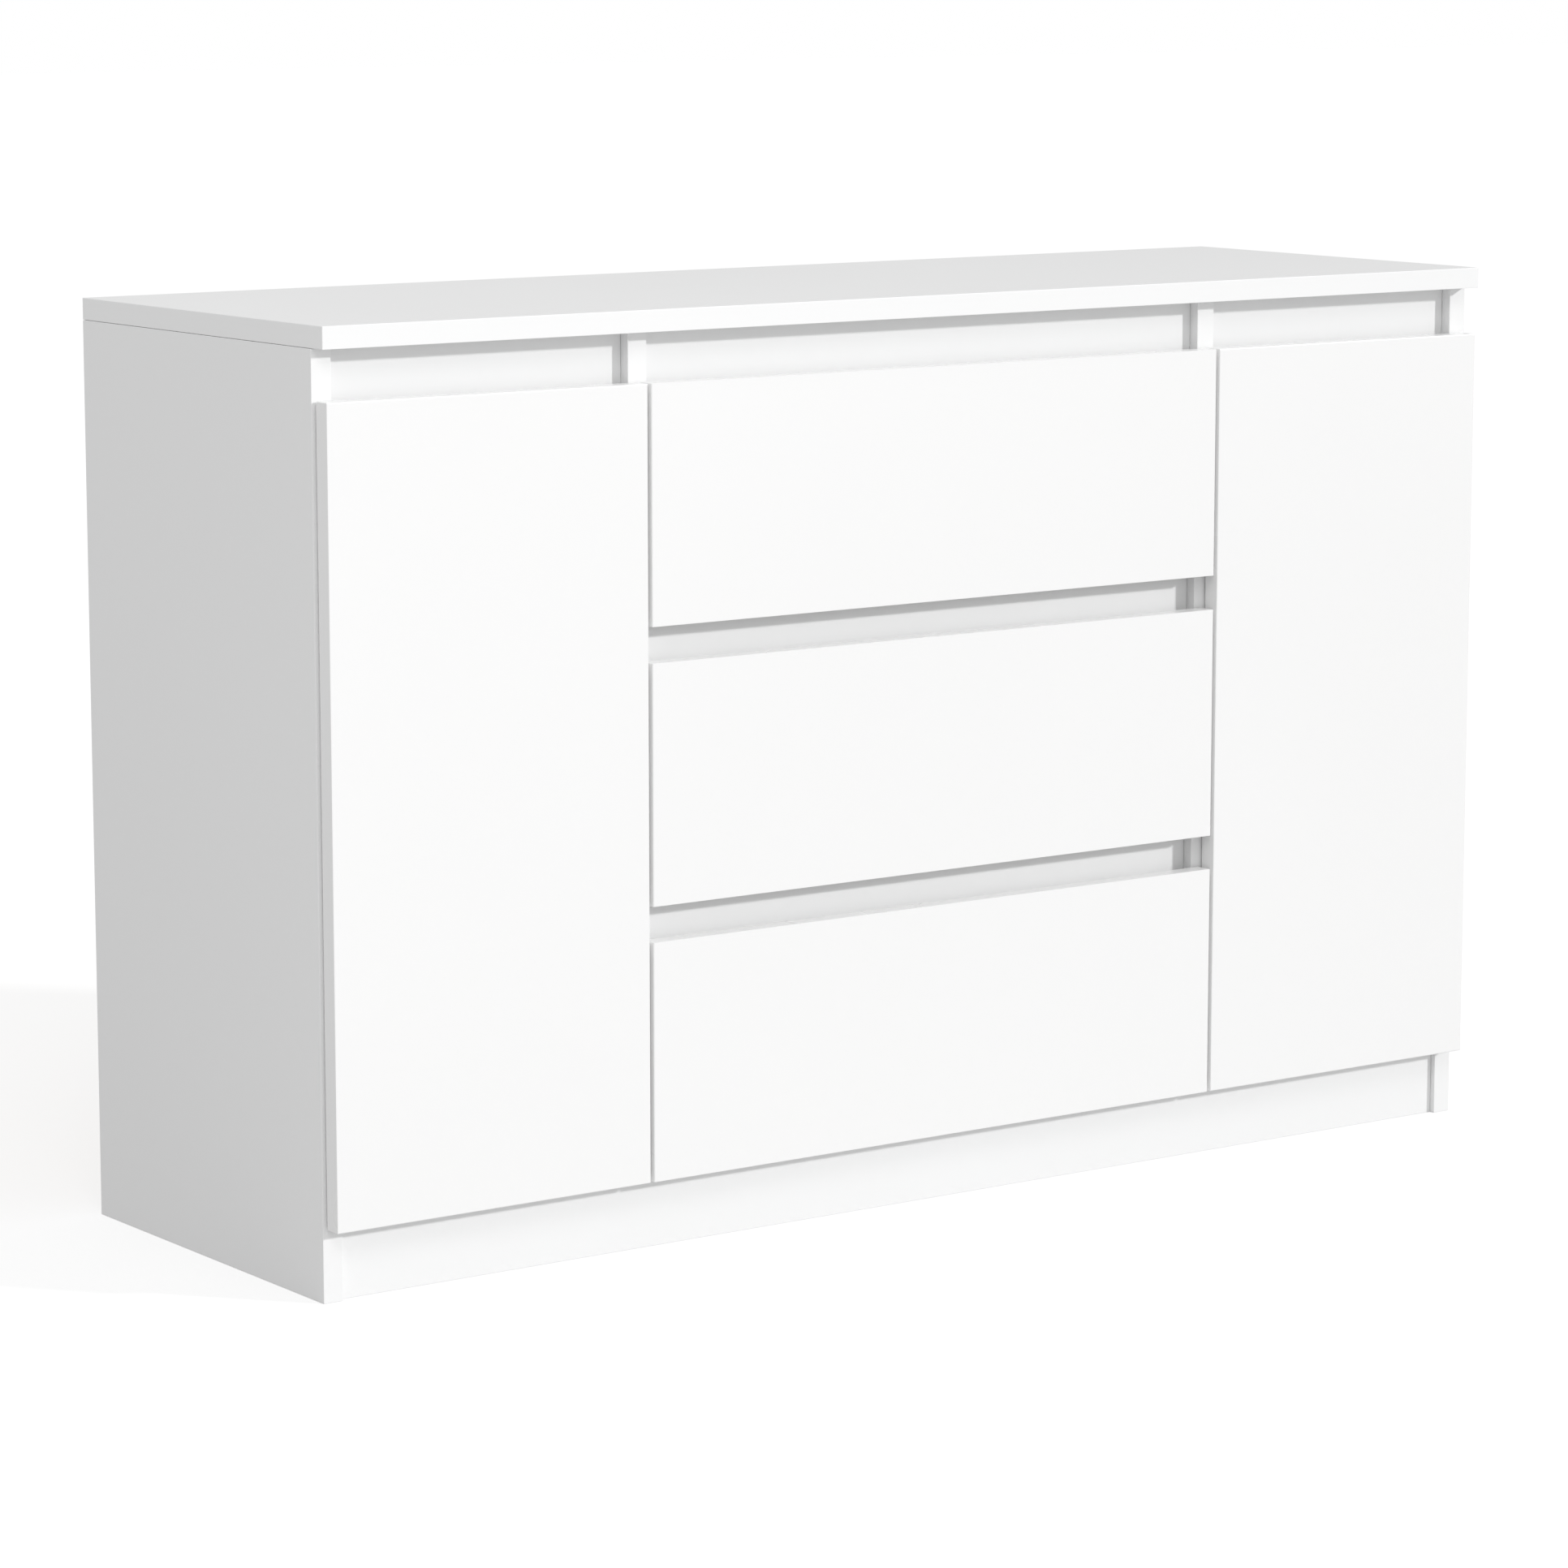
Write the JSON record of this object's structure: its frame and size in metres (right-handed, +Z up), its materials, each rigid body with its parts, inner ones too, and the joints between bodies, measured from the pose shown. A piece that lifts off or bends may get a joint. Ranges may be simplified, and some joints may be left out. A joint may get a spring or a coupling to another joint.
{
  "type": "sideboard",
  "caption": "Long low white sideboard: a hinged-door cupboard at each end and handleless drawers between them, opened by finger gaps above the fronts, on a set-back plinth.",
  "frame": {"origin": "middle of the footprint, on the floor", "axes": "+X to the right seen from the front, along the length; +Y from the front to the back; +Z up"},
  "size_m": [1.2, 0.385, 0.775],
  "materials": {
    "white_board": "satin",
    "front_board": "satin",
    "drawer_board": "satin",
    "fibreboard": "matte",
    "runner_steel": "satin",
    "hinge_steel": "gloss"
  },
  "bodies": {
    "cabinet": {"top_panel": "white_board", "left_side_panel": "white_board", "right_side_panel": "white_board", "left_divider": "white_board", "right_divider": "white_board", "bottom_panel": "white_board", "plinth_board": "white_board", "rear_plinth_board": "white_board", "left_top_rail": "white_board", "middle_top_rail": "white_board", "right_top_rail": "white_board", "lower_drawer_rail": "white_board", "upper_drawer_rail": "white_board", "left_back_sheet": "fibreboard", "middle_back_sheet": "fibreboard", "right_back_sheet": "fibreboard", "left_shelf": "white_board", "right_shelf": "white_board", "lower_cabinet_left_runner": "runner_steel", "lower_cabinet_right_runner": "runner_steel", "middle_cabinet_left_runner": "runner_steel", "middle_cabinet_right_runner": "runner_steel", "upper_cabinet_left_runner": "runner_steel", "upper_cabinet_right_runner": "runner_steel", "left_lower_hinge_arm": "hinge_steel", "left_upper_hinge_arm": "hinge_steel", "right_lower_hinge_arm": "hinge_steel", "right_upper_hinge_arm": "hinge_steel"},
    "left_door": {"left_door": "front_board", "left_lower_hinge_cup": "hinge_steel", "left_upper_hinge_cup": "hinge_steel"},
    "left_hinge_links": {"left_lower_hinge_link": "hinge_steel", "left_upper_hinge_link": "hinge_steel"},
    "right_door": {"right_door": "front_board", "right_lower_hinge_cup": "hinge_steel", "right_upper_hinge_cup": "hinge_steel"},
    "right_hinge_links": {"right_lower_hinge_link": "hinge_steel", "right_upper_hinge_link": "hinge_steel"},
    "lower_drawer": {"lower_drawer_front": "front_board", "lower_drawer_left_side": "drawer_board", "lower_drawer_right_side": "drawer_board", "lower_drawer_back": "drawer_board", "lower_drawer_bottom": "fibreboard", "lower_drawer_left_runner": "runner_steel", "lower_drawer_right_runner": "runner_steel"},
    "middle_drawer": {"middle_drawer_front": "front_board", "middle_drawer_left_side": "drawer_board", "middle_drawer_right_side": "drawer_board", "middle_drawer_back": "drawer_board", "middle_drawer_bottom": "fibreboard", "middle_drawer_left_runner": "runner_steel", "middle_drawer_right_runner": "runner_steel"},
    "upper_drawer": {"upper_drawer_front": "front_board", "upper_drawer_left_side": "drawer_board", "upper_drawer_right_side": "drawer_board", "upper_drawer_back": "drawer_board", "upper_drawer_bottom": "fibreboard", "upper_drawer_left_runner": "runner_steel", "upper_drawer_right_runner": "runner_steel"}
  },
  "joints": [
    {"name": "left_door_hinge", "type": "hinge", "parent": "cabinet", "child": "left_door", "pos_m": [-0.597, -0.1925, 0.388], "axis": [0, 0, -1], "range_deg": [0, 100]},
    {"name": "left_hinge_links_turn", "type": "hinge", "parent": "left_door", "child": "left_hinge_links", "pos_m": [-0.582, -0.181, 0.388], "axis": [0, 0, 1], "range_deg": [0, 95]},
    {"name": "right_door_hinge", "type": "hinge", "parent": "cabinet", "child": "right_door", "pos_m": [0.597, -0.1925, 0.388], "axis": [0, 0, 1], "range_deg": [0, 100]},
    {"name": "right_hinge_links_turn", "type": "hinge", "parent": "right_door", "child": "right_hinge_links", "pos_m": [0.582, -0.181, 0.388], "axis": [0, 0, -1], "range_deg": [0, 95]},
    {"name": "lower_drawer_slide", "type": "slide", "parent": "cabinet", "child": "lower_drawer", "axis": [0, -1, 0], "range_m": [0, 0.225]},
    {"name": "middle_drawer_slide", "type": "slide", "parent": "cabinet", "child": "middle_drawer", "axis": [0, -1, 0], "range_m": [0, 0.225]},
    {"name": "upper_drawer_slide", "type": "slide", "parent": "cabinet", "child": "upper_drawer", "axis": [0, -1, 0], "range_m": [0, 0.225]}
  ],
  "couplings": [
    {"joint": "left_hinge_links_turn", "follows": "left_door_hinge", "ratio": 0.93},
    {"joint": "right_hinge_links_turn", "follows": "right_door_hinge", "ratio": 0.93}
  ]
}
